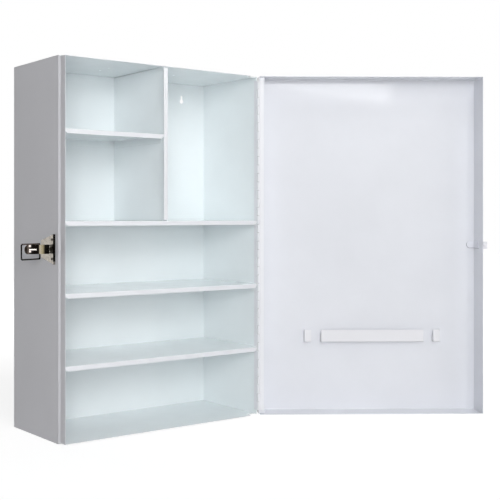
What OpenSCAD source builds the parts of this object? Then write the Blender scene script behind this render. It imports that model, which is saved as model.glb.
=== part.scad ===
// Lockable wall cabinet for medicines: a folded sheet-steel case with shelves, a pan door on a
// piano hinge, a document holder on the door and an over-centre latch with a key lock on the side.
// Origin: middle of the underside. +Z is up and the front faces -Y.

/* [Case] */
// Width over the two sides
case_w = 400; // [340:5:460]
// Depth of the case without the door
case_d = 168; // [144:2:220]
// Height over top and bottom
case_h = 600; // [560:5:680]
// Thickness of the case, shelf and door sheet
sheet_t = 0.8; // [0.6:0.1:1]
// Inside radius of a sheet bend
bend_r = 0.8; // [0.6:0.1:1.2]

/* [Stepped front lip] */
// Length of the stepped-in front lip that the door closes over
lip_len = 14; // [12:0.5:17]
// How far the lip is stepped inwards
lip_step = 2.2; // [2.2:0.1:2.8]
// Length of the slope between the lip and the side
lip_slope_len = 3.5; // [2.5:0.5:4.5]
// How far the top and bottom lips end short of the hinge side
lip_cut = 25; // [16:1:30]

/* [Back] */
// Width of the flange that the sides, top and bottom turn in behind the back panel
back_flange_w = 12; // [8:1:20]
// Corner notch in the back panel
back_notch = 4; // [3:0.5:6]
// Distance between the two keyholes
keyhole_spacing = 294; // [240:2:320]
// Diameter of a keyhole's head
keyhole_head_d = 8; // [7:0.5:10]
// Width of a keyhole's slot
keyhole_slot_w = 4; // [3:0.5:5.5]
// From the head's middle up to the middle of the slot's round end
keyhole_rise = 9; // [7:0.5:12]
// From the top of the case down to the head's middle
keyhole_drop = 33; // [28:1:45]

/* [Holes in the top] */
// Diameter of the holes
top_hole_d = 4; // [3:0.5:6]
// Spacing of the holes across the width
top_hole_spacing_x = 134; // [110:2:150]
// Spacing of the holes along the depth
top_hole_spacing_y = 28; // [20:1:40]
// From the middle of the case back to the middle of the holes
top_hole_back = 12; // [-10:1:20]

/* [Shelves] */
// Height of the lowest shelf's top face
first_shelf_z = 121; // [100:0.5:130]
// Height between shelves
shelf_pitch = 111.5; // [100:0.5:118]
// Height of the small shelf above the highest full shelf
small_shelf_rise = 142; // [110:0.5:160]
// Height of the folded front lip
shelf_lip_h = 7.5; // [6:0.5:12]
// Height of the flanges along the walls
shelf_flange_h = 13; // [10:0.5:16]
// Size of the cut across the lower corners of the lip
shelf_corner_cut = 4; // [3:0.5:6]
// From the front edge of the case back to a shelf's lip
shelf_setback = 1.5; // [1.2:0.1:3]

/* [Divider] */
// Middle of the divider's sheet from the middle of the case
divider_x = -3; // [-30:1:30]
// Width of its folded front lip
divider_lip_w = 9; // [7:0.5:12]
// Width of its top, bottom and back flanges
divider_flange_w = 12; // [8:1:16]

/* [Piano hinge] */
// Outside diameter of a knuckle
knuckle_d = 4.4; // [4.2:0.1:5.2]
// Diameter of the pin
hinge_pin_d = 2.2; // [1.8:0.1:2.4]
// Thickness of the leaves
leaf_t = 0.9; // [0.7:0.1:1]
// Width of each leaf from the pin's middle
leaf_w = 9.5; // [8:0.5:10.5]
// Length of one knuckle with its gap
knuckle_pitch = 15; // [12:0.5:20]
// Gap between knuckles
knuckle_gap = 0.5; // [0.3:0.1:0.8]
// Gap between the barrel and the front edge of the hinge side
barrel_gap = 1.6; // [1.4:0.1:2.5]

/* [Door] */
// Angle at which the door stands open as drawn
door_open_angle = 146; // [100:1:170]
// Depth of the door's pan, over its flanges
door_depth = 45; // [36:1:60]
// Width of the lip that the door's flange turns in along the hinge
door_return_w = 10.5; // [10:0.5:13]
// Gap between a flange's end and the slope of the lip
door_flange_gap = 1; // [0.8:0.1:2]
// Gap at the pan's corners between the flanges
door_corner_gap = 1.2; // [0.8:0.1:2]

/* [Document holder] */
// Middle of the holder from the middle of the door
doc_x = -10; // [-12:1:12]
// Length of the bar
doc_bar_len = 186; // [140:2:200]
// Height of the bar and clips
doc_bar_h = 22; // [18:1:30]
// Height of their lower edge above the door's lower edge
doc_bar_z = 124; // [90:1:180]
// Depth of the pocket behind them
doc_depth = 10; // [7:0.5:12]
// Width of a clip
doc_clip_w = 12; // [10:0.5:18]
// Distance between the middles of the clips
doc_clip_spacing = 234; // [228:2:260]
// Thickness of the bar's and the clips' sheet
doc_t = 1; // [0.8:0.1:1.5]
// Height of their foot against the door
doc_foot_h = 12; // [8:1:14]

/* [Latch] */
// Height of the latch's middle
latch_z = 300; // [280:1:320]
// From the front edge of the case back to the base plate
latch_base_y = 27; // [24:0.5:30]
// Length of the base plate
latch_base_len = 44; // [42:1:48]
// Height of the base plate's wide front end
latch_base_h = 47; // [44:1:50]
// Height of its narrow back end
latch_tail_h = 28; // [24:0.5:30]
// Radius of the corners at its back end
latch_tail_r = 3; // [2:0.5:4]
// Thickness of the base plate
latch_base_t = 1.2; // [1:0.1:1.5]
// Height of its turned-up front edge
latch_edge_h = 3.4; // [2.5:0.1:3.6]
// From the front edge of the case back to the lever's pivot
pivot_y = 42.5; // [42.5:0.5:44]
// Height of the lever's pivot above the side
pivot_out = 8; // [7.9:0.1:8.6]
// Diameter of the lever's pin
lever_pin_d = 3; // [2.4:0.1:3.2]
// Thickness of the two ears that carry the pin
ear_t = 1.2; // [1:0.1:1.5]
// Radius of an ear about the pin
ear_r = 2.6; // [2.4:0.1:2.7]
// How far an ear's front edge falls back towards its foot, so that the lever can lean forwards
ear_fall = 2.2; // [2:0.1:3]
// Length of the base plate's nearly straight front part
shoulder_len = 6; // [4:0.5:8]
// By how much the base plate narrows on each side along that part
shoulder_drop = 0.5; // [0.3:0.1:1]

/* [Lever] */
// Height of the lever across its sides
lever_h = 14.4; // [13.6:0.2:16]
// Length from the pivot to the tip
lever_len = 38.5; // [36:0.5:44]
// Thickness of the lever's sheet
lever_t = 1; // [0.8:0.1:1.2]
// From the pivot along the lever to the loop's pivot
loop_pivot_along = 9; // [8:0.5:10]
// From the pivot across the lever to the loop's pivot
loop_pivot_across = 3; // [2.6:0.1:3.2]
// From the pivot across to the inner face of the web at the root
web_off = 3; // [3:0.1:3.2]
// From the pivot to the root end
lever_root = 4; // [3.6:0.1:4.2]
// Depth of the flanges at the root, from the pivot
lever_flange_depth = 5.8; // [5.2:0.1:6]
// From the pivot to where the web starts to slope towards the grip
slope_x = 6; // [5:0.5:7]
// From the pivot to where the grip begins
grip_x = 14; // [13:0.5:16]
// Depth of the flanges along the grip
grip_flange = 2.2; // [1.5:0.1:3]
// Length over which the flanges rise to that depth
grip_rise = 6; // [4:0.5:8]
// Length over which they run out at the tip
grip_runout = 4; // [3:0.5:5]
// Length of the bent tip
tip_len = 5; // [4:0.5:6]
// How far the tip is bent
tip_off = 2.5; // [1.5:0.5:3]
// Diameter of the rib along the grip
rib_d = 2.6; // [2:0.1:3]
// Length of the rib
rib_len = 15; // [12:0.5:16]
// From where the grip begins to the rib
rib_start = 4; // [3:0.5:5]

/* [Wire loop] */
// Diameter of the wire
wire_d = 2.4; // [2:0.1:2.6]
// Inside height of the loop
loop_inner_h = 21; // [19:0.5:23]
// Radius of the far corners, to the middle of the wire
loop_corner_r = 3; // [2.5:0.1:3.5]
// Angle by which the loop leans forwards from straight out, as drawn
loop_lean = 22.5; // [10:0.5:25]

/* [Strike] */
// Height of the strike along the door's edge
strike_h = 13; // [11:0.5:13]
// How far its tab stands off the door's edge
strike_out = 8; // [7.4:0.1:8.4]
// Thickness of the strike
strike_t = 1.5; // [1.2:0.1:1.8]
// From the front edge of the case back to the tab's front face
strike_tab_y = 9.5; // [9:0.1:10]
// Length of the backing plate on the door's inner face
backing_len = 14.5; // [12:0.5:20]
// Length of the strike's foot along the door's edge
strike_foot_len = 27; // [24:0.5:30]
// From the end of the foot to its rivets
strike_rivet_edge = 5; // [4:0.5:6]

/* [Lock] */
// Diameter of the lock's round body
lock_d = 8.8; // [8.4:0.1:9]
// Height of the lock's body above the base plate
lock_h = 3.5; // [3.2:0.1:3.6]
// Diameter of the turning plug
plug_d = 5.6; // [5:0.1:6]
// Width of the finger that the plug turns under the lever
finger_w = 2.6; // [2:0.1:2.8]
// Thickness of the finger
finger_t = 1.2; // [0.8:0.1:1.4]
// Gap between the finger and the base plate
finger_gap = 0.5; // [0.3:0.1:0.6]
// How far the finger reaches under the lever's heel
finger_lap = 2; // [1.5:0.1:2.4]
// Width of the keyway
keyway_w = 0.9; // [0.7:0.1:1.2]
// Length of the keyway
keyway_len = 3.6; // [3:0.1:4.2]
// Depth of the keyway
keyway_depth = 1.6; // [1.2:0.1:2]

/* [Rivets] */
// Diameter of the latch's rivets
rivet_d = 3; // [2.6:0.1:3.2]
// Diameter of their heads
rivet_head_d = 4.6; // [4.2:0.1:5.2]
// Height of their heads on the base plate
rivet_head_h = 1; // [0.8:0.1:1.2]
// Height of their heads inside the case
rivet_tail_h = 0.8; // [0.6:0.1:1]
// From the base plate's front edge to the two front rivets
latch_rivet_back = 8.5; // [8:0.1:9]
// From the base plate's upper and lower edges to the two front rivets
latch_rivet_in = 8.5; // [8:0.1:9]
// From the base plate's back end to the rear rivet
tail_rivet_back = 11; // [10:0.5:12]
// Diameter of the strike's rivets
strike_rivet_d = 2.4; // [2:0.1:2.6]
// Diameter of their heads
strike_rivet_head_d = 4; // [3.6:0.1:4.2]
// Height of their heads
strike_rivet_head_h = 0.8; // [0.6:0.1:1]
// Distance between the strike's two rivets
strike_rivet_spacing = 6.5; // [5.5:0.1:7]

/* [Hidden] */
$fn = 48;
eps = 0.01; // overcut for clean differences
run_clear = 0.05; // radial clearance of pins and plugs in their bores
fit_clear = 0.3; // clearance of pieces that pass close by

// Case
x_left = -case_w / 2;
x_right = case_w / 2;
y_front = -case_d / 2;
y_back = case_d / 2;
inner_left = x_left + sheet_t;
inner_right = x_right - sheet_t;
inner_bottom = sheet_t;
inner_top = case_h - sheet_t;
y_lip_end = y_front + lip_len;
y_slope_end = y_lip_end + lip_slope_len;
back_y = y_back - 2 * sheet_t; // front face of the back panel, which rests on the flanges
bend_ro = bend_r + sheet_t;
notch_y = y_slope_end + fit_clear; // behind this the case has its full inner size
lip_clear_x = inner_left + lip_step + fit_clear;
door_flange_y = y_lip_end - door_flange_gap;
side_front_y = door_flange_y + fit_clear; // the hinge side ends behind the door's flanges

// Hinge
hinge_x = inner_right - leaf_t + knuckle_d / 2;
hinge_y = side_front_y - barrel_gap - knuckle_d / 2;
knuckle_count = 2 * floor((case_h / knuckle_pitch - 2) / 2) + 1; // odd, so both ends are on the case
hinge_len = knuckle_count * knuckle_pitch;
hinge_z = (case_h - hinge_len) / 2;

// Door, in its closed place
door_outer_y = door_flange_y - door_depth;
door_inner_y = door_outer_y + sheet_t;
return_y = hinge_y - knuckle_d / 2; // rear face of the lip along the hinge

// Shelves and divider
shelf_y = y_front + shelf_setback;
shelf_z = [for (i = [0 : 2]) first_shelf_z + i * shelf_pitch];
top_shelf_z = shelf_z[2];
small_shelf_z = top_shelf_z + small_shelf_rise;
divider_left = divider_x - sheet_t / 2;
divider_right = divider_x + sheet_t / 2;
shelf_flange_y_left = notch_y;
shelf_flange_y_right = hinge_y + leaf_w + fit_clear;
shelf_right = x_right - door_return_w - fit_clear; // in front of the hinge side

// Latch, measured outwards from the left side and backwards from the front edge
ear_clear = 0.15; // between an ear and the lever's flange
wire_clear = 0.1; // between the wire and the lever
corner_clear = 0.15; // between the wire's far corner and the strike
ear_out = lever_h / 2 - lever_t - ear_clear;
tip_x = lever_len - tip_len;
rib_reach = min(rib_len, tip_x - grip_x - rib_start); // the rib ends before the tip bends
wire_r = wire_d / 2;
loop_drop = loop_inner_h / 2 - lever_h / 2 - wire_clear; // the loop hangs down by its play
loop_half = loop_inner_h / 2 + wire_r;
loop_root_r = wire_r + run_clear; // the wire turns sharply beside the lever

// Hooked up, the wire stays far enough in front of the tab for its corner to clear the tab's top
corner_in_r = loop_corner_r - wire_r;
strike_over = max(0, strike_h / 2 + loop_drop - (loop_half - loop_corner_r));
corner_gap = corner_in_r - sqrt(pow(corner_in_r - corner_clear, 2) - pow(strike_over, 2));
hooked_gap = max(fit_clear, corner_gap);
hooked_y = strike_tab_y - hooked_gap - wire_r; // middle of the hooked wire
loop_len = pivot_y + loop_pivot_along - hooked_y;

// Rivets
latch_rivet_y = latch_base_y + latch_rivet_back;
latch_rivet_z = latch_base_h / 2 - latch_rivet_in;
base_end_y = latch_base_y + latch_base_len;
tail_rivet_y = base_end_y - tail_rivet_back;
strike_foot_y = strike_tab_y + strike_t - strike_foot_len;
strike_rivet_y = strike_foot_y + strike_rivet_edge;

// Lock
lock_y = latch_base_y + latch_base_t + lock_d / 2 + run_clear;
finger_len = pivot_y - lever_root - lock_y + finger_lap;
finger_out = latch_base_t + finger_gap;
window_h = finger_gap + finger_t + fit_clear;

steel_white = [0.91, 0.92, 0.94];
steel_white_shade = [0.84, 0.86, 0.89];
zinc = [0.72, 0.73, 0.75];
nickel = [0.8, 0.79, 0.76];

// ---- helpers ------------------------------------------------------------------------------

// Extrudes an (x, y) profile along Z from z0 to z1
module along_z(z0, z1) {
    translate([0, 0, z0]) linear_extrude(height = z1 - z0) children();
}

// Extrudes a (y, z) profile along X from x0 to x1
module along_x(x0, x1) {
    translate([x0, 0, 0]) rotate([90, 0, 90]) linear_extrude(height = x1 - x0) children();
}

// Extrudes an (x, z) profile along Y from y0 to y1
module along_y(y0, y1) {
    translate([0, y1, 0]) rotate([90, 0, 0]) linear_extrude(height = y1 - y0) children();
}

// Sheet bend with its outer corner at the origin: one leg along +X and one along -Y
module bend_2d(leg_x, leg_y, t, r_in) {
    ro = r_in + t;
    translate([ro, -t]) square([leg_x - ro, t]);
    translate([0, -leg_y]) square([t, leg_y - ro]);
    intersection() {
        translate([0, -ro]) square([ro, ro]);
        translate([ro, -ro]) difference() {
            circle(r = ro);
            circle(r = r_in);
        }
    }
}

// Moves a piece drawn on the closed door to where the door stands open
module on_open_door() {
    translate([hinge_x, hinge_y, 0]) rotate([0, 0, door_open_angle]) translate([-hinge_x, -hinge_y, 0])
        children();
}

// Latch frame: +X outwards from the left side, +Y backwards from the case's front edge
module at_latch() {
    translate([x_left, y_front, latch_z]) mirror([1, 0, 0]) children();
}

// Section of a wall whose front lip is stepped inwards: x is the inset and y the depth
module stepped_2d() {
    polygon([
        [0, y_back], [0, y_slope_end], [lip_step, y_lip_end], [lip_step, y_front],
        [lip_step + sheet_t, y_front], [lip_step + sheet_t, y_lip_end],
        [sheet_t, y_slope_end], [sheet_t, y_back]
    ]);
}

// Outline of a side seen along X, with its front corners stepped in: (y, z)
module stepped_side_2d() {
    polygon([
        [y_front, lip_step], [y_lip_end, lip_step], [y_slope_end, 0], [y_back, 0],
        [y_back, case_h], [y_slope_end, case_h], [y_lip_end, case_h - lip_step],
        [y_front, case_h - lip_step]
    ]);
}

// Outline of the top and bottom between the sides: (x, y)
module between_sides_2d() {
    polygon([
        [inner_left + lip_step, y_front], [x_right - lip_cut, y_front],
        [x_right - lip_cut, side_front_y], [inner_right, side_front_y], [inner_right, y_back],
        [inner_left, y_back], [inner_left, y_slope_end], [inner_left + lip_step, y_lip_end]
    ]);
}

// ---- case ---------------------------------------------------------------------------------

module side_panel_left() {
    color(steel_white_shade) difference() {
        union() {
            intersection() {
                translate([x_left, 0, 0]) along_z(0, case_h) stepped_2d();
                along_x(x_left - eps, x_left + lip_step + 2 * sheet_t) stepped_side_2d();
            }
            side_back_flange(x_left);
        }
        at_latch() latch_rivet_holes();
    }
}

module side_panel_right() {
    color(steel_white) {
        translate([inner_right, side_front_y, 0]) cube([sheet_t, y_back - side_front_y, case_h]);
        side_back_flange(inner_right - back_flange_w + sheet_t);
    }
}

// Flange of a side, turned in behind the back panel
module side_back_flange(x0) {
    translate([x0, y_back - sheet_t, back_notch]) cube([back_flange_w, sheet_t, case_h - 2 * back_notch]);
}

// Top or bottom sheet, drawn as the bottom
module floor_sheet() {
    intersection() {
        along_x(inner_left - eps, inner_right + eps) rotate(90) mirror([0, 1]) stepped_2d();
        along_z(-eps, lip_step + 2 * sheet_t) between_sides_2d();
    }
    flange_x = inner_left - sheet_t + back_flange_w + fit_clear;
    translate([flange_x, y_back - sheet_t, 0]) cube([-2 * flange_x, sheet_t, back_flange_w]);
}

module top_panel() {
    color(steel_white) difference() {
        translate([0, 0, case_h]) mirror([0, 0, 1]) floor_sheet();
        for (sx = [-1, 1], sy = [-1, 1])
            translate([sx * top_hole_spacing_x / 2, top_hole_back + sy * top_hole_spacing_y / 2,
                inner_top - eps]) cylinder(d = top_hole_d, h = sheet_t + 2 * eps);
    }
}

module bottom_panel() {
    color(steel_white) floor_sheet();
}

module back_panel() {
    color(steel_white) difference() {
        translate([inner_left, back_y, inner_bottom])
            cube([inner_right - inner_left, sheet_t, inner_top - inner_bottom]);
        for (sx = [-1, 1]) translate([sx * keyhole_spacing / 2, 0, case_h - keyhole_drop]) keyhole();
        for (x = [inner_left, inner_right], z = [inner_bottom, inner_top])
            translate([x, back_y + sheet_t / 2, z])
                cube([back_notch, sheet_t + 2 * eps, back_notch], center = true);
    }
}

module keyhole() {
    along_y(back_y - eps, back_y + sheet_t + eps) {
        circle(d = keyhole_head_d);
        translate([-keyhole_slot_w / 2, 0]) square([keyhole_slot_w, keyhole_rise]);
        translate([0, keyhole_rise]) circle(d = keyhole_slot_w);
    }
}

// ---- shelves ------------------------------------------------------------------------------

// Folded shelf from x0 to x1 with its top face at z. Its front lip runs from lip_x0 to lip_x1.
module folded_shelf(x0, x1, z, lip_x0, lip_x1) {
    plate_x0 = x0 + bend_ro;
    plate_x1 = x1 - bend_ro;
    difference() {
        union() {
            along_x(max(plate_x0, lip_x0), min(plate_x1, lip_x1)) translate([shelf_y, z])
                bend_2d(notch_y - shelf_y, shelf_lip_h, sheet_t, bend_r);
            along_x(plate_x0, plate_x1) translate([notch_y, z - sheet_t])
                square([back_y - bend_ro - notch_y, sheet_t]);
            along_x(plate_x0, plate_x1) translate([back_y, z]) mirror([1, 0])
                bend_2d(2 * bend_ro, shelf_flange_h, sheet_t, bend_r);
            along_y(shelf_flange_y_left, back_y - bend_ro) translate([x0, z])
                bend_2d(2 * bend_ro, shelf_flange_h, sheet_t, bend_r);
            along_y(shelf_flange_y_right, back_y - bend_ro) translate([x1, z]) mirror([1, 0])
                bend_2d(2 * bend_ro, shelf_flange_h, sheet_t, bend_r);
        }
        for (x = [max(plate_x0, lip_x0), min(plate_x1, lip_x1)])
            translate([x, shelf_y - eps, z - shelf_lip_h]) rotate([0, 45, 0])
                translate([-shelf_corner_cut / sqrt(2), 0, -shelf_corner_cut / sqrt(2)])
                    cube([shelf_corner_cut * sqrt(2), bend_ro, shelf_corner_cut * sqrt(2)]);
    }
}

module full_shelf(i) {
    color(steel_white) {
        folded_shelf(inner_left, inner_right, shelf_z[i], lip_clear_x, shelf_right);
        // Corner beside the hinge
        translate([shelf_right - eps, side_front_y, shelf_z[i] - sheet_t])
            cube([inner_right - bend_ro - shelf_right + eps, notch_y - side_front_y + eps, sheet_t]);
    }
}

module shelf_lower() {
    full_shelf(0);
}

module shelf_middle() {
    full_shelf(1);
}

module shelf_upper() {
    full_shelf(2);
}

module shelf_small() {
    color(steel_white) folded_shelf(inner_left, divider_left, small_shelf_z, lip_clear_x,
        divider_right - divider_lip_w - fit_clear);
}

module divider_panel() {
    plate_z0 = top_shelf_z + bend_ro;
    plate_z1 = inner_top - bend_ro;
    lip_top = inner_top - lip_step - 2 * fit_clear - sheet_t;
    color(steel_white) difference() {
        union() {
            // Sheet and front lip
            along_z(plate_z0, plate_z1) translate([divider_right, shelf_y]) rotate(180)
                bend_2d(divider_lip_w, 2 * bend_ro, sheet_t, bend_r);
            translate([divider_left, shelf_y + 2 * bend_ro, plate_z0])
                cube([sheet_t, back_y - bend_ro - shelf_y - 2 * bend_ro, plate_z1 - plate_z0]);
            // Back flange
            along_z(plate_z0, plate_z1) translate([divider_left, back_y])
                bend_2d(divider_flange_w, 2 * bend_ro, sheet_t, bend_r);
            // Top and bottom flanges
            along_y(notch_y, back_y - bend_ro) translate([divider_left, inner_top])
                bend_2d(divider_flange_w, 2 * bend_ro, sheet_t, bend_r);
            along_y(notch_y, back_y - bend_ro) translate([divider_left, top_shelf_z]) mirror([0, 1])
                bend_2d(divider_flange_w, 2 * bend_ro, sheet_t, bend_r);
            // Foot of the front lip
            translate([divider_left, shelf_y + 2 * bend_ro, top_shelf_z])
                cube([sheet_t, notch_y - shelf_y - 2 * bend_ro, 2 * bend_ro]);
        }
        translate([divider_right - divider_lip_w - eps, y_front - eps, lip_top])
            cube([divider_lip_w + 2 * eps, notch_y - y_front, case_h]);
    }
}

// ---- hinge --------------------------------------------------------------------------------

// Knuckle number i as a tube on the hinge's axis
module knuckle(i) {
    translate([hinge_x, hinge_y, hinge_z + i * knuckle_pitch + knuckle_gap / 2])
        cylinder(d = knuckle_d, h = knuckle_pitch - knuckle_gap);
}

module pin_bore() {
    translate([hinge_x, hinge_y, hinge_z - eps])
        cylinder(d = hinge_pin_d + 2 * run_clear, h = hinge_len + 2 * eps);
}

module hinge_leaf_frame() {
    leaf_y = hinge_y + knuckle_d / 2 + knuckle_gap;
    color(steel_white_shade) difference() {
        union() {
            translate([inner_right - leaf_t, leaf_y, hinge_z])
                cube([leaf_t, hinge_y + leaf_w - leaf_y, hinge_len]);
            for (i = [0 : 2 : knuckle_count - 1]) {
                knuckle(i);
                translate([inner_right - leaf_t, hinge_y, hinge_z + i * knuckle_pitch + knuckle_gap / 2])
                    cube([leaf_t, leaf_y - hinge_y + eps, knuckle_pitch - knuckle_gap]);
            }
        }
        pin_bore();
    }
}

module hinge_leaf_door() {
    leaf_x = hinge_x - knuckle_d / 2 - knuckle_gap;
    color(steel_white_shade) on_open_door() difference() {
        union() {
            translate([hinge_x - leaf_w, return_y, hinge_z])
                cube([leaf_x - hinge_x + leaf_w, leaf_t, hinge_len]);
            for (i = [1 : 2 : knuckle_count - 2]) {
                knuckle(i);
                translate([leaf_x - eps, return_y, hinge_z + i * knuckle_pitch + knuckle_gap / 2])
                    cube([hinge_x - leaf_x + eps, leaf_t, knuckle_pitch - knuckle_gap]);
            }
        }
        pin_bore();
    }
}

module hinge_pin() {
    color(zinc) translate([hinge_x, hinge_y, hinge_z]) cylinder(d = hinge_pin_d, h = hinge_len);
}

// ---- door ---------------------------------------------------------------------------------

// Corner bend and flange of the top or bottom edge, drawn for the bottom
module door_edge_flange() {
    reach = x_right - sheet_t - door_corner_gap;
    along_x(-reach, reach) translate([door_outer_y, 0]) mirror([0, 1])
        bend_2d(door_depth, 2 * bend_ro, sheet_t, bend_r);
}

module door_panel() {
    return_z = sheet_t + door_corner_gap;
    color(steel_white) on_open_door() difference() {
        union() {
            translate([x_left + bend_ro, door_outer_y, bend_ro])
                cube([case_w - 2 * bend_ro, sheet_t, case_h - 2 * bend_ro]);
            // Free edge with its flange
            along_z(0, case_h) translate([x_left, door_outer_y]) mirror([0, 1])
                bend_2d(2 * bend_ro, door_depth, sheet_t, bend_r);
            // Hinge edge with its flange and the lip turned in from it
            along_z(0, case_h) translate([x_right, door_outer_y]) rotate(180)
                bend_2d(2 * bend_ro, return_y - bend_ro - door_outer_y + eps, sheet_t, bend_r);
            along_z(return_z, case_h - return_z) translate([x_right, return_y]) mirror([1, 0])
                bend_2d(door_return_w, 2 * bend_ro, sheet_t, bend_r);
            door_edge_flange();
            translate([0, 0, case_h]) mirror([0, 0, 1]) door_edge_flange();
        }
        strike_rivet_holes();
    }
}

// One piece of the document holder, folded up from the door: x0 and x1 on the closed door
module holder_profile(x0, x1) {
    front_y = door_inner_y + doc_depth + doc_t;
    z1 = doc_bar_z + doc_bar_h;
    along_x(x0, x1) {
        translate([front_y, doc_bar_z]) rotate(180)
            bend_2d(doc_depth + doc_t, doc_bar_h, doc_t, bend_r);
        translate([door_inner_y, doc_bar_z + doc_t - eps]) square([doc_t, doc_foot_h]);
    }
}

module document_bar() {
    color(steel_white) on_open_door()
        holder_profile(doc_x - doc_bar_len / 2, doc_x + doc_bar_len / 2);
}

// A clip is the same fold, with a cheek along its outer edge: side is -1 or 1
module document_clip(side) {
    x_mid = doc_x + side * doc_clip_spacing / 2;
    cheek_x = side > 0 ? x_mid + doc_clip_w / 2 - doc_t : x_mid - doc_clip_w / 2;
    color(steel_white) on_open_door() {
        holder_profile(x_mid - doc_clip_w / 2, x_mid + doc_clip_w / 2);
        translate([cheek_x, door_inner_y, doc_bar_z + doc_t])
            cube([doc_t, doc_depth + doc_t / 2, doc_bar_h - doc_t]);
    }
}

module document_clip_left() {
    document_clip(1);
}

module document_clip_right() {
    document_clip(-1);
}

// ---- strike -------------------------------------------------------------------------------

module strike_plate() {
    color(nickel) on_open_door() at_latch() difference() {
        translate([0, 0, -strike_h / 2]) linear_extrude(height = strike_h)
            translate([0, strike_tab_y + strike_t]) bend_2d(strike_out, strike_tab_y + strike_t
                - strike_foot_y, strike_t, bend_r);
        strike_rivet_shanks(strike_rivet_d + 2 * run_clear);
    }
}

module strike_backing() {
    leg_y = y_front + strike_rivet_y + strike_rivet_edge;
    color(steel_white) on_open_door() translate([0, 0, latch_z]) difference() {
        union() {
            translate([0, 0, -strike_h / 2]) linear_extrude(height = strike_h)
                translate([x_left + sheet_t, door_inner_y]) mirror([0, 1])
                    bend_2d(backing_len - strike_h / 2, leg_y - door_inner_y, sheet_t, bend_r);
            translate([x_left + sheet_t + backing_len - strike_h / 2, door_inner_y, 0])
                rotate([-90, 0, 0]) cylinder(d = strike_h, h = sheet_t);
        }
        translate([x_left, y_front, 0]) mirror([1, 0, 0])
            strike_rivet_shanks(strike_rivet_d + 2 * run_clear);
    }
}

// Shanks of the two strike rivets in the latch frame
module strike_rivet_shanks(d) {
    for (s = [-1, 1]) translate([-2 * sheet_t - eps, strike_rivet_y, s * strike_rivet_spacing / 2])
        rotate([0, 90, 0]) cylinder(d = d, h = 2 * sheet_t + strike_t + 2 * eps);
}

module strike_rivet_holes() {
    at_latch() strike_rivet_shanks(strike_rivet_d + 2 * run_clear);
}

module strike_rivets() {
    color(zinc) on_open_door() at_latch() for (s = [-1, 1])
        translate([0, strike_rivet_y, s * strike_rivet_spacing / 2]) rotate([0, 90, 0]) {
            translate([0, 0, -2 * sheet_t]) cylinder(d = strike_rivet_d, h = 2 * sheet_t + strike_t + eps);
            translate([0, 0, strike_t])
                cylinder(d1 = strike_rivet_head_d, d2 = strike_rivet_d, h = strike_rivet_head_h);
        }
}

// ---- latch --------------------------------------------------------------------------------

// Ear that carries the lever's pin, in the plane of the pin: (outwards, backwards)
module ear_2d() {
    translate([pivot_out, pivot_y]) circle(r = ear_r);
    polygon([
        [latch_base_t - eps, pivot_y - ear_r + ear_fall], [pivot_out, pivot_y - ear_r],
        [pivot_out, pivot_y + ear_r], [latch_base_t - eps, pivot_y + 2 * ear_r]
    ]);
}

// Outline of the base plate on the side: (backwards, height)
module base_outline_2d() {
    half = latch_base_h / 2;
    tail_half = latch_tail_h / 2;
    shoulder_y = latch_base_y + shoulder_len;
    tail_y = base_end_y - latch_tail_r;
    polygon([
        [latch_base_y, -half], [shoulder_y, shoulder_drop - half], [tail_y, -tail_half],
        [tail_y, latch_tail_r - tail_half], [base_end_y, latch_tail_r - tail_half],
        [base_end_y, tail_half - latch_tail_r], [tail_y, tail_half - latch_tail_r],
        [tail_y, tail_half], [shoulder_y, half - shoulder_drop], [latch_base_y, half]
    ]);
    for (s = [-1, 1]) translate([tail_y, s * (tail_half - latch_tail_r)]) circle(r = latch_tail_r);
}

module latch_base() {
    color(nickel) at_latch() difference() {
        union() {
            along_x(0, latch_base_t) base_outline_2d();
            translate([0, latch_base_y, -latch_base_h / 2]) cube([latch_edge_h, latch_base_t, latch_base_h]);
            for (s = [-1, 1]) translate([0, 0, s * (ear_out - ear_t / 2) - ear_t / 2])
                linear_extrude(height = ear_t) ear_2d();
        }
        translate([pivot_out, pivot_y, -lever_h]) cylinder(d = lever_pin_d + 2 * run_clear, h = 2 * lever_h);
        latch_rivet_holes();
    }
}

// Places its child on each of the latch's three rivets
module at_latch_rivets() {
    for (p = [[latch_rivet_y, latch_rivet_z], [latch_rivet_y, -latch_rivet_z], [tail_rivet_y, 0]])
        translate([0, p[0], p[1]]) rotate([0, 90, 0]) children();
}

module latch_rivet_holes() {
    at_latch_rivets() translate([0, 0, -2 * sheet_t])
        cylinder(d = rivet_d + 2 * run_clear, h = 2 * sheet_t + latch_base_t + eps);
}

module latch_rivets() {
    color(zinc) at_latch() at_latch_rivets() {
        translate([0, 0, -sheet_t]) cylinder(d = rivet_d, h = sheet_t + latch_base_t);
        translate([0, 0, latch_base_t]) cylinder(d1 = rivet_head_d, d2 = rivet_d, h = rivet_head_h);
        translate([0, 0, -sheet_t - rivet_tail_h]) cylinder(d = rivet_head_d, h = rivet_tail_h);
    }
}

module lever_pin() {
    color(zinc) at_latch() translate([pivot_out, pivot_y, -lever_h / 2])
        cylinder(d = lever_pin_d, h = lever_h);
}

// Lever standing straight out: +X along it and +Y towards its hollow side, from its pivot
module lever_web_2d() {
    polygon([
        [-lever_root, -web_off - lever_t], [slope_x, -web_off - lever_t],
        [grip_x, -lever_t], [tip_x, -lever_t], [lever_len, -tip_off - lever_t],
        [lever_len, -tip_off], [tip_x, 0], [grip_x, 0], [slope_x, -web_off],
        [-lever_root, -web_off]
    ]);
}

module lever_flange_2d() {
    polygon([
        [-lever_root, -web_off - eps], [slope_x, -web_off - eps], [grip_x, -eps], [tip_x, -eps],
        [tip_x - grip_runout, grip_flange], [grip_x + grip_rise, grip_flange],
        [grip_x, lever_flange_depth], [0, lever_flange_depth], [-lever_root, web_off]
    ]);
}

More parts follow.
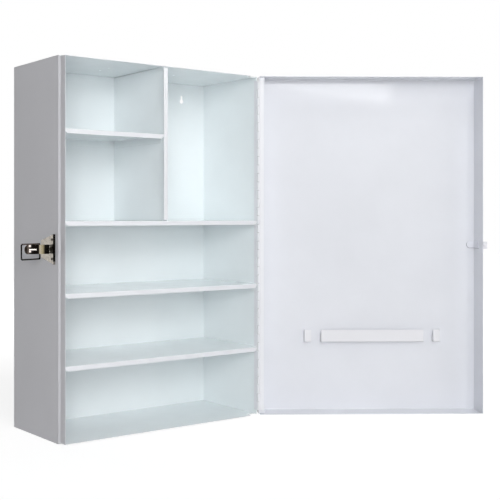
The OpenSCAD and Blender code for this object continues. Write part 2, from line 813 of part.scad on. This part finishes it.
module latch_lever() {
    tip_r = lever_h / 2;
    color(nickel) at_latch() translate([pivot_out, pivot_y, 0]) difference() {
        union() {
            intersection() {
                translate([0, 0, -lever_h / 2]) linear_extrude(height = lever_h) lever_web_2d();
                along_y(-lever_h, lever_h) {
                    translate([-lever_root, -lever_h / 2]) square([lever_root + lever_len - tip_r, lever_h]);
                    translate([lever_len - tip_r, 0]) circle(r = tip_r);
                }
            }
            intersection() {
                for (s = [-1, 1]) translate([0, 0, s * (lever_h - lever_t) / 2 - lever_t / 2])
                    linear_extrude(height = lever_t) lever_flange_2d();
                along_y(-lever_h, lever_h)
                    translate([-lever_root, -lever_h / 2]) square([lever_root + lever_len - tip_r, lever_h]);
            }
            // Heel between the ears, which the lock's finger holds
            translate([-lever_root, -web_off - eps, -ear_out + ear_t + fit_clear])
                cube([lever_t, web_off + lever_root, 2 * (ear_out - ear_t - fit_clear)]);
            // Rib along the grip
            translate([grip_x + rib_start, rib_d / 4 - lever_t, 0]) rotate([0, 90, 0])
                cylinder(d = rib_d, h = rib_reach);
        }
        translate([0, 0, -lever_h]) cylinder(d = lever_pin_d + 2 * run_clear, h = 2 * lever_h);
        translate([loop_pivot_along, loop_pivot_across, -lever_h])
            cylinder(d = wire_d + 2 * wire_clear, h = 2 * lever_h);
    }
}

// ---- loop ---------------------------------------------------------------------------------

// Quarter turn of wire about the origin, from +X to +Y
module wire_corner(r) {
    rotate_extrude(angle = 90) translate([r, 0]) circle(d = wire_d);
}

module latch_loop() {
    root = loop_root_r;
    far = loop_corner_r;
    color(nickel) at_latch()
        translate([pivot_out + loop_pivot_along, pivot_y + loop_pivot_across, -loop_drop])
            rotate([0, 0, -loop_lean]) rotate([90, 0, 0]) {
                // Length through the lever
                translate([0, -loop_half + root, 0]) rotate([-90, 0, 0])
                    cylinder(d = wire_d, h = 2 * (loop_half - root));
                // Far end
                translate([loop_len, -loop_half + far, 0]) rotate([-90, 0, 0])
                    cylinder(d = wire_d, h = 2 * (loop_half - far));
                for (s = [0, 1]) mirror([0, s, 0]) {
                    translate([root, loop_half, 0]) rotate([0, 90, 0])
                        cylinder(d = wire_d, h = loop_len - root - far);
                    translate([root, loop_half - root, 0]) rotate([0, 0, 90]) wire_corner(root);
                    translate([loop_len - far, loop_half - far, 0]) wire_corner(far);
                }
            }
}

// ---- lock ---------------------------------------------------------------------------------

module lock_cylinder() {
    color(nickel) at_latch() translate([latch_base_t, lock_y, 0]) difference() {
        rotate([0, 90, 0]) cylinder(d = lock_d, h = lock_h);
        translate([-eps, 0, 0]) rotate([0, 90, 0])
            cylinder(d = plug_d + 2 * run_clear, h = lock_h + 2 * eps);
        // Window through which the finger turns
        translate([-eps, -finger_w / 2 - fit_clear, -finger_w / 2 - fit_clear])
            cube([window_h, lock_d, lock_d]);
    }
}

module lock_plug() {
    color(zinc) at_latch() translate([0, lock_y, 0]) difference() {
        union() {
            translate([latch_base_t + run_clear, 0, 0]) rotate([0, 90, 0])
                cylinder(d = plug_d, h = lock_h - run_clear);
            translate([finger_out, -finger_w / 2, 0]) cube([finger_t, finger_w, finger_len]);
        }
        translate([latch_base_t + lock_h - keyway_depth, -keyway_w / 2, -keyway_len / 2])
            cube([lock_h, keyway_w, keyway_len]);
    }
}

side_panel_left();
side_panel_right();
top_panel();
bottom_panel();
back_panel();
divider_panel();
shelf_upper();
shelf_middle();
shelf_lower();
shelf_small();
hinge_leaf_frame();
hinge_leaf_door();
hinge_pin();
door_panel();
document_bar();
document_clip_left();
document_clip_right();
strike_plate();
strike_backing();
strike_rivets();
latch_base();
latch_rivets();
lever_pin();
latch_lever();
latch_loop();
lock_cylinder();
lock_plug();
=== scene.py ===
import math
from functools import reduce

import bpy
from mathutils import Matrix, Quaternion, Vector

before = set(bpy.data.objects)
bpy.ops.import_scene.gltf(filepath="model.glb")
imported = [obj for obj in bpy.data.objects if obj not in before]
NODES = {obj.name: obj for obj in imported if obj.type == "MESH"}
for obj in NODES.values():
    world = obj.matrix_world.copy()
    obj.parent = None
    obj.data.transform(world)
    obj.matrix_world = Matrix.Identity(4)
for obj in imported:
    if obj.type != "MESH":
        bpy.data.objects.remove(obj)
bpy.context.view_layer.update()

# All lengths are in metres, and colours are 0 to 255 sRGB unless a comment says otherwise.
SCENE = bpy.context.scene
X, Y, Z = range(3)

# ---- camera: the photograph's view, in pixels of a 500 x 500 image -------------------------
IMAGE = 500
FOCAL_PX = 950.527
CENTRE_PX = (157.387, 217.333)
CAM_YAW = math.radians(35.135)
CAM_POS = (-0.917383, -1.351168, 0.349629)
CLIP_START = 0.01
SENSOR_MM = 36.0


def make_camera():
    data = bpy.data.cameras.new("camera")
    data.sensor_width = SENSOR_MM
    data.lens = FOCAL_PX * SENSOR_MM / IMAGE
    data.shift_x = (IMAGE / 2 - CENTRE_PX[0]) / IMAGE
    data.shift_y = -(IMAGE / 2 - CENTRE_PX[1]) / IMAGE
    data.clip_start = CLIP_START
    cam = bpy.data.objects.new("camera", data)
    cam.location = CAM_POS
    cam.rotation_euler = (math.pi / 2, 0, -CAM_YAW)
    SCENE.collection.objects.link(cam)
    SCENE.camera = cam


# ---- node helpers --------------------------------------------------------------------------
LINEAR_BELOW = 10.3  # of 255: the straight foot of the sRGB curve


class Graph:
    """A node tree, with short calls to add a node, set its inputs and link them."""

    def __init__(self, tree):
        self.nodes, self.links = tree.nodes, tree.links
        self.nodes.clear()

    def add(self, kind, props=None, **inputs):
        """Adds a node. An input is named, or i and its number."""
        n = self.nodes.new("ShaderNode" + kind)
        for k, v in (props or {}).items():
            setattr(n, k, v)
        for k, v in inputs.items():
            numbered = k[0] == "i" and k[1:].isdigit()
            sock = n.inputs[int(k[1:])] if numbered else n.inputs[k.replace("_", " ")]
            if isinstance(v, bpy.types.NodeSocket):
                self.links.new(v, sock)
            else:
                sock.default_value = v
        return n


def new_graph(datablock):
    """The emptied node tree of a new material or world."""
    datablock.use_nodes = True
    return Graph(datablock.node_tree)


def rgba(colour):
    """A colour as the linear values of a socket."""
    linear = [((v / 255 + 0.055) / 1.055) ** 2.4 if v > LINEAR_BELOW else v / 255 / 12.92
              for v in colour]
    return (*linear, 1.0)


def grey(value):
    """A grey written in linear values."""
    return (value, value, value, 1.0)


def calc(g, operation, *values):
    """A Math node's result."""
    inputs = {f"i{i}": v for i, v in enumerate(values)}
    return g.add("Math", {"operation": operation}, **inputs).outputs[0]


def carry(g, value, lo, hi, to_lo=0.0, to_hi=1.0):
    """The value carried from lo..hi to to_lo..to_hi, and held at the ends."""
    return g.add("MapRange", i0=value, i1=lo, i2=hi, i3=to_lo, i4=to_hi).outputs[0]


def noise(g, at, scale, detail, roughness):
    return g.add("TexNoise", Vector=at, Scale=scale, Detail=detail,
                 Roughness=roughness).outputs[0]


def stops(g, value, points):
    """A colour ramp through (position, colour) points."""
    node = g.add("ValToRGB", Fac=value)
    el = node.color_ramp.elements
    while len(el) < len(points):
        el.new(0.5)
    for e, (place, colour) in zip(el, points):
        e.position = place
        e.color = rgba(colour)
    return node.outputs[0]


def band(g, value, lo, hi, soft):
    """1 where the value lies between lo and hi, falling to 0 over soft beyond them."""
    up = carry(g, value, lo - soft, lo)
    down = carry(g, value, hi, hi + soft, 1.0, 0.0)
    return calc(g, "MULTIPLY", up, down)


def patches(g, at, boxes):
    """1 inside any of the boxes and 0 outside. A box is (axis, from, to, softness) rows."""
    masks = []
    for box in boxes:
        spans = [band(g, at[axis], lo, hi, soft) for axis, lo, hi, soft in box]
        masks.append(reduce(lambda a, b: calc(g, "MULTIPLY", a, b), spans))
    return reduce(lambda a, b: calc(g, "MAXIMUM", a, b), masks)


def blend(g, fac, a, b):
    """The colour a where fac is 0 and b where it is 1."""
    return g.add("Mix", {"data_type": "RGBA"}, i0=fac, i6=a, i7=b).outputs[2]


def split(g, vector):
    """The x, y and z of a vector."""
    return g.add("SeparateXYZ", i0=vector).outputs


def backdrop_rays(g):
    """1 for the rays that show the background: camera, glossy and transmission."""
    path = g.add("LightPath").outputs
    seen = calc(g, "MAXIMUM", path["Is Camera Ray"], path["Is Glossy Ray"])
    return calc(g, "MAXIMUM", seen, path["Is Transmission Ray"])


# ---- light and stage -----------------------------------------------------------------------
AIM = (0, -0.1, 0.3)
# Each row: name, place, target, size, watts, roll in degrees, and the rays that see the lamp
LAMPS = [
    ("softbox_left", (-1.368, -2.34, 1.721), (-0.902, -1.456, 1.721), (2.2, 1.4), 36, -7.7,
     "glossy"),
    ("fill_left", (-1.457, -2.431, 0.834), AIM, (1.0, 1.0), 36.5, 0, "diffuse"),
    ("top_left", (-0.627, -1.104, 2.838), AIM, (0.9, 0.9), 12.5, 0, "all"),
    ("front", (-0.417, -2.464, 1.742), AIM, (0.9, 0.9), 13, 0, "diffuse"),
    ("key_right", (1.376, -2.302, 1.349), AIM, (1.1, 0.9), 10, 0, "all"),
    ("low_right", (2.631, -1.058, 0.251), AIM, (0.9, 1.1), 23, 0, "all"),
    ("low_left", (-1.793, -2.237, 0.056), AIM, (1.2, 0.9), 8.5, 0, "diffuse"),
    ("back_fill", (0.393, 2.798, 1.852), (0, 0.1, 0.35), (2.4, 1.6), 20, 0, "all"),
]
WHITE = grey(1.0)
FLOOR_SIZE = 14.0
FLOOR_Z = -0.0005
# The floor as the object is lit by it, a linear grey
FLOOR_ALBEDO = 0.8
# The floor as it is seen: its glow, up to white between two distances, and what takes shadows
FLOOR_GLOW = 0.8
FLOOR_NEAR = 0.5
FLOOR_FAR = 1.3
FLOOR_CATCH = 0.35


def make_world():
    """White to the rays that show the background, and dark to the rest."""
    world = bpy.data.worlds.new("world")
    SCENE.world = world
    g = new_graph(world)
    dark = g.add("Background", Strength=0.0)
    white = g.add("Background", Color=WHITE, Strength=1.0)
    mix = g.add("MixShader", i0=backdrop_rays(g), i1=dark.outputs[0], i2=white.outputs[0])
    g.add("OutputWorld", Surface=mix.outputs[0])


def make_lamps():
    for name, loc, target, size, power, roll, rays in LAMPS:
        data = bpy.data.lights.new(name, "AREA")
        data.shape = "RECTANGLE"
        data.size, data.size_y = size
        data.energy = power
        ob = bpy.data.objects.new(name, data)
        ob.location = loc
        aim = (Vector(target) - Vector(loc)).to_track_quat("-Z", "Y")
        ob.rotation_euler = (aim @ Quaternion((0, 0, 1), math.radians(roll))).to_euler()
        ob.visible_glossy = rays != "diffuse"
        ob.visible_diffuse = rays != "glossy"
        SCENE.collection.objects.link(ob)


def make_floor():
    h = FLOOR_SIZE / 2
    me = bpy.data.meshes.new("floor")
    me.from_pydata([(-h, -h, 0), (h, -h, 0), (h, h, 0), (-h, h, 0)], [], [(0, 1, 2, 3)])
    floor = bpy.data.objects.new("floor", me)
    floor.location.z = FLOOR_Z
    SCENE.collection.objects.link(floor)
    mat = bpy.data.materials.new("floor")
    g = new_graph(mat)
    at = g.add("TexCoord").outputs["Object"]
    far = g.add("VectorMath", {"operation": "LENGTH"}, i0=at).outputs["Value"]
    rise = carry(g, far, FLOOR_NEAR, FLOOR_FAR, FLOOR_GLOW, 1.0)
    glow = g.add("Emission", Color=WHITE, Strength=rise)
    catch = g.add("BsdfDiffuse", Color=grey(FLOOR_CATCH))
    shown = g.add("AddShader", i0=glow.outputs[0], i1=catch.outputs[0])
    plain = g.add("BsdfDiffuse", Color=grey(FLOOR_ALBEDO))
    mix = g.add("MixShader", i0=backdrop_rays(g), i1=plain.outputs[0], i2=shown.outputs[0])
    g.add("OutputMaterial", Surface=mix.outputs[0])
    me.materials.append(mat)


# ---- materials -----------------------------------------------------------------------------
# Noises: scale per metre, detail, roughness
COAT_CLOUD = (7.0, 3.0, 0.55)
COAT_SPECK = (900.0, 1.0, 0.5)
COAT_SHEEN = (28.0, 2.0, 0.5)
COAT_PEEL = (380.0, 2.0, 0.45)
PLATE_CLOUD = (160.0, 3.0, 0.5)
PLATE_LINES = (900.0, 2.0, 0.5)
# The part of a noise that is spread over a range of sheen or tone
SHEEN_SPAN = (0.3, 0.7)
PLATE_SPAN = (0.3, 0.7)
COAT_SPAN = (0.45, 0.9)  # of the clouds with their specks
SPECK_SHARE = 0.35
# Depth of the bump, in metres
PEEL_DEPTH = 0.0004
SCRATCH_DEPTH = 0.0002
COAT_IOR = 1.5
SPECULAR = 0.5
SPECULAR_LOST = 0.35  # under a clear coat of full weight
CLEAR_ROUGH = 0.06
# Ranges of roughness
GLOSSY = (0.16, 0.18)
SATIN = (0.29, 0.36)
MATT = (0.42, 0.5)
DULL_ZINC = (0.3, 0.4)


def tints(colour, spread):
    """The colour a little darker and a little lighter."""
    return [[min(255, v * (1 + s)) for v in colour] for s in (-spread, spread)]


def enamel(name, colour, rough=SATIN, peel=0.05, mottle=0.012, coat=0.0, tone=None):
    """Powder coat: orange peel, faint clouds of tone and sheen. tone may repaint it by place."""
    mat = bpy.data.materials.new(name)
    g = new_graph(mat)
    at = g.add("TexCoord").outputs["Object"]
    cloud = noise(g, at, *COAT_CLOUD)
    mixed = calc(g, "MULTIPLY_ADD", noise(g, at, *COAT_SPECK), SPECK_SHARE, cloud)
    base = stops(g, mixed, list(zip(COAT_SPAN, tints(colour, mottle))))
    if tone:
        base = tone(g, at, base)
    gloss = carry(g, noise(g, at, *COAT_SHEEN), *SHEEN_SPAN, *rough)
    bump = g.add("Bump", Strength=peel, Distance=PEEL_DEPTH, Height=noise(g, at, *COAT_PEEL))
    shader = g.add("BsdfPrincipled", Base_Color=base, Roughness=gloss, Normal=bump.outputs[0],
                   IOR=COAT_IOR, Specular_IOR_Level=SPECULAR - SPECULAR_LOST * coat,
                   Coat_Weight=coat, Coat_Roughness=CLEAR_ROUGH)
    g.add("OutputMaterial", Surface=shader.outputs[0])
    return mat


def plated(name, colour, rough=(0.14, 0.26), grain=(1, 1, 1), scratch=0.08, spread=0.08,
           tone=None):
    """Plated steel: clouds of tone and polishing lines. tone may repaint it by place."""
    mat = bpy.data.materials.new(name)
    g = new_graph(mat)
    at = g.add("TexCoord").outputs["Object"]
    drawn = g.add("Mapping", Vector=at, Scale=grain).outputs[0]
    cloud = noise(g, at, *PLATE_CLOUD)
    base = stops(g, cloud, list(zip(PLATE_SPAN, tints(colour, spread))))
    if tone:
        base = tone(g, split(g, at), base)
    lines = noise(g, drawn, *PLATE_LINES)
    gloss = carry(g, lines, *SHEEN_SPAN, *rough)
    bump = g.add("Bump", Strength=scratch, Distance=SCRATCH_DEPTH, Height=lines)
    shader = g.add("BsdfPrincipled", Base_Color=base, Roughness=gloss, Normal=bump.outputs[0],
                   Metallic=1.0)
    g.add("OutputMaterial", Surface=shader.outputs[0])
    return mat


# ---- tones by place, in the resting frame, with painted shade, highlights and reflections ---
# Front faces of the shelves, divider and case sheets, painted slightly greyer: painted shade
LIP_Y = -0.0816
LIP_SOFT = 0.0004
LIP_SHADE_COLOUR = (229, 231, 235)
# Middle height of the latch and strike
LATCH_Z = 0.3
# Backing plate of the strike: the open door's direction, and along it the place of the hinge
# and the distance from the hinge to the middle of the plate's round end, whose radius is
# BACKING_R
DOOR_DIR = (0.829038, -0.559193, 0.0)
HINGE_ALONG = 0.207882
BACKING_MID = 0.3917
BACKING_R = 0.0065
# Painted shadow line round it: width, softness, colour, and how it fades above the plate's middle
RIM = 0.0008
RIM_SOFT = 0.0002
RIM_SHADOW_COLOUR = (120, 122, 132)
RIM_FADE = (0.001, 0.0055)
RIM_LEFT = 0.15
# Lever: painted reflections from its free end to its root, and the boxes of its painted
# highlights
LEVER_X = (-0.2465, -0.204)
LEVER_REFLECTIONS = [
    (0.0, (80, 70, 62)), (0.08, (48, 40, 35)), (0.2, (100, 90, 82)), (0.28, (34, 29, 26)),
    (0.4, (16, 13, 11)), (0.6, (20, 16, 13)), (0.63, (182, 172, 152)), (0.74, (152, 142, 112)),
    (0.79, (134, 124, 100)), (0.82, (34, 31, 28)), (1.0, (30, 28, 25)),
]
LEVER_HIGHLIGHT = (240, 232, 226)
LEVER_HIGHLIGHT_BOXES = [
    [(X, -0.2378, -0.2248, 0.0004), (Z, LATCH_Z - 0.0014, LATCH_Z + 0.0009, 0.0003)],
    [(X, -0.2374, -0.2346, 0.0008), (Z, LATCH_Z - 0.0042, LATCH_Z - 0.0012, 0.0006)],
    [(X, -0.2378, -0.2348, 0.0008), (Z, LATCH_Z + 0.0042, LATCH_Z + 0.0068, 0.0008)],
]
# Latch base: painted shade and painted dark reflections on the turned-up front edge and the ears
BASE_SHADE = (24, 20, 17)
BASE_SHADED_BOXES = [
    [(Y, -0.0572, -0.05585, 0.00005), (Z, LATCH_Z - 0.0185, LATCH_Z + 0.0235, 0.001)],
    [(X, -0.212, -0.20135, 0.0001), (Y, -0.0485, -0.03, 0.0003)],
]
# Lock: dark sleeve and bright face
LOCK_DARK = (26, 23, 20)
LOCK_BRIGHT = (226, 224, 218)
LOCK_MARKS = [[(X, -0.21, -0.2046, 0.00005)]]
# Wire loop: painted light on its upper leg, a darker lower leg, and painted shade at both ends
WIRE_Z = (LATCH_Z - 0.008, LATCH_Z + 0.007)
WIRE_LIGHT_STOPS = [(0.0, (62, 62, 52)), (1.0, (128, 116, 108))]
WIRE_SHADE = (16, 14, 13)
WIRE_X = (-0.2590, -0.2156)
WIRE_UNSHADED = [
    (0.0, (0, 0, 0)), (0.07, (0, 0, 0)), (0.12, (255, 255, 255)), (0.9, (255, 255, 255)),
    (0.93, (0, 0, 0)),
]


def lip_painted_shade(g, at, base):
    """Painted shade: the folded front edges are painted slightly greyer."""
    front = carry(g, split(g, at)[Y], LIP_Y, LIP_Y - LIP_SOFT)
    return blend(g, front, base, rgba(LIP_SHADE_COLOUR))


def backing_painted_shadow(g, at, base):
    """Painted shadow where the plate meets the door, strongest below and at the round end."""
    along = g.add("VectorMath", {"operation": "DOT_PRODUCT"}, i0=at, i1=DOOR_DIR)
    past = calc(g, "SUBTRACT", BACKING_MID + HINGE_ALONG, along.outputs["Value"])
    past = calc(g, "MAXIMUM", past, 0.0)
    high = calc(g, "SUBTRACT", split(g, at)[Z], LATCH_Z)
    flat = g.add("CombineXYZ", i0=past, i1=high)
    far = g.add("VectorMath", {"operation": "LENGTH"}, i0=flat.outputs[0]).outputs["Value"]
    rim_shadow = carry(g, far, BACKING_R - RIM, BACKING_R - RIM + RIM_SOFT)
    low = carry(g, high, *RIM_FADE, 1.0, RIM_LEFT)
    return blend(g, calc(g, "MULTIPLY", rim_shadow, low), base, rgba(RIM_SHADOW_COLOUR))


def lever_painted_reflections(g, at, _):
    """Painted reflections of the room in bands, with a few painted highlights."""
    reflections = stops(g, carry(g, at[X], *LEVER_X), LEVER_REFLECTIONS)
    return blend(g, patches(g, at, LEVER_HIGHLIGHT_BOXES), reflections, rgba(LEVER_HIGHLIGHT))


def base_painted_shade(g, at, base):
    """Painted shade and painted dark reflections on the turned-up front edge and the ears."""
    return blend(g, patches(g, at, BASE_SHADED_BOXES), base, rgba(BASE_SHADE))


def lock_tone(g, at, _):
    """A bright face on a dark sleeve."""
    return blend(g, patches(g, at, LOCK_MARKS), rgba(LOCK_DARK), rgba(LOCK_BRIGHT))


def wire_painted_shading(g, at, _):
    """Painted light and shade: the upper leg lighter than the lower one, both ends in painted
    shade.
    """
    run = stops(g, carry(g, at[Z], *WIRE_Z), WIRE_LIGHT_STOPS)
    keep = stops(g, carry(g, at[X], *WIRE_X), WIRE_UNSHADED)
    return blend(g, keep, rgba(WIRE_SHADE), run)


# ---- the carried-over nodes ----------------------------------------------------------------
WELD_DIST = 0.00001
FLAT_ANGLE = math.radians(0.5)
EDGE_R = 0.0003
EDGE_SEGMENTS = 2
EDGE_ANGLE = math.radians(30)
SOFTENED = (
    "side_panel_left", "side_panel_right", "top_panel", "bottom_panel", "divider_panel",
    "shelf_small", "shelf_upper", "shelf_middle", "shelf_lower", "door_panel",
    "document_bar", "document_clip_left", "document_clip_right",
)


def soften(ob):
    """Rounds a node's outer edges a little, as paint and tumbling do."""
    weld = ob.modifiers.new("weld", "WELD")
    weld.merge_threshold = WELD_DIST
    flat = ob.modifiers.new("flat", "DECIMATE")
    flat.decimate_type = "DISSOLVE"
    flat.angle_limit = FLAT_ANGLE
    bev = ob.modifiers.new("bevel", "BEVEL")
    bev.width = EDGE_R
    bev.segments = EDGE_SEGMENTS
    bev.limit_method = "ANGLE"
    bev.angle_limit = EDGE_ANGLE
    bev.use_clamp_overlap = True
    bev.harden_normals = False
    norm = ob.modifiers.new("normals", "WEIGHTED_NORMAL")
    norm.keep_sharp = True


def dress():
    """Gives every node its material, and the sheet metal its soft edges."""
    finish = [
        # The outer left side: the same white paint, painted a darker grey as painted shade
        (enamel("case_enamel_painted_shade", (210, 210, 215)), ["side_panel_left"]),
        # The inner sheets: the same white paint, painted lighter as painted light
        (enamel("shelf_enamel_painted_light", (243, 249, 251), rough=GLOSSY, tone=lip_painted_shade),
         ["side_panel_right", "top_panel", "bottom_panel", "back_panel", "divider_panel",
          "shelf_small", "shelf_upper", "shelf_middle", "shelf_lower"]),
        (enamel("door_enamel", (227, 229, 235), rough=MATT, coat=1.0), ["door_panel"]),
        (enamel("backing_enamel", (228, 230, 237), rough=MATT, tone=backing_painted_shadow),
         ["strike_backing"]),
        (enamel("hinge_enamel", (232, 233, 237), rough=MATT, peel=0.08),
         ["hinge_leaf_frame", "hinge_leaf_door"]),
        (enamel("holder_enamel", (232, 232, 236)),
         ["document_bar", "document_clip_left", "document_clip_right"]),
        (plated("nickel", (170, 164, 155), grain=(1, 6, 1), tone=base_painted_shade), ["latch_base"]),
        (plated("lever_chrome", (120, 117, 112), rough=(0.06, 0.16), grain=(1, 1, 8),
                tone=lever_painted_reflections), ["latch_lever"]),
        (plated("lock_chrome", (120, 117, 112), rough=(0.1, 0.2), tone=lock_tone),
         ["lock_cylinder"]),
        (plated("wire_steel", (110, 106, 100), rough=(0.12, 0.24), grain=(6, 1, 6),
                tone=wire_painted_shading), ["latch_loop"]),
        (plated("strike_zinc", (206, 206, 211), rough=DULL_ZINC),
         ["strike_plate", "strike_rivets"]),
        (plated("rivet_zinc", (70, 64, 58), rough=DULL_ZINC), ["latch_rivets"]),
        (plated("plug_zinc", (120, 116, 108), rough=DULL_ZINC), ["lock_plug"]),
        (plated("pin_steel", (150, 148, 145), rough=SATIN, grain=(1, 1, 8)),
         ["hinge_pin", "lever_pin"]),
    ]
    worn = {name: mat for mat, names in finish for name in names}
    for name, ob in NODES.items():
        ob.data.materials.clear()
        ob.data.materials.append(worn[name])
    for name in SOFTENED:
        soften(NODES[name])


make_camera()
make_world()
make_lamps()
make_floor()
dress()
SCENE.view_settings.view_transform = "Standard"
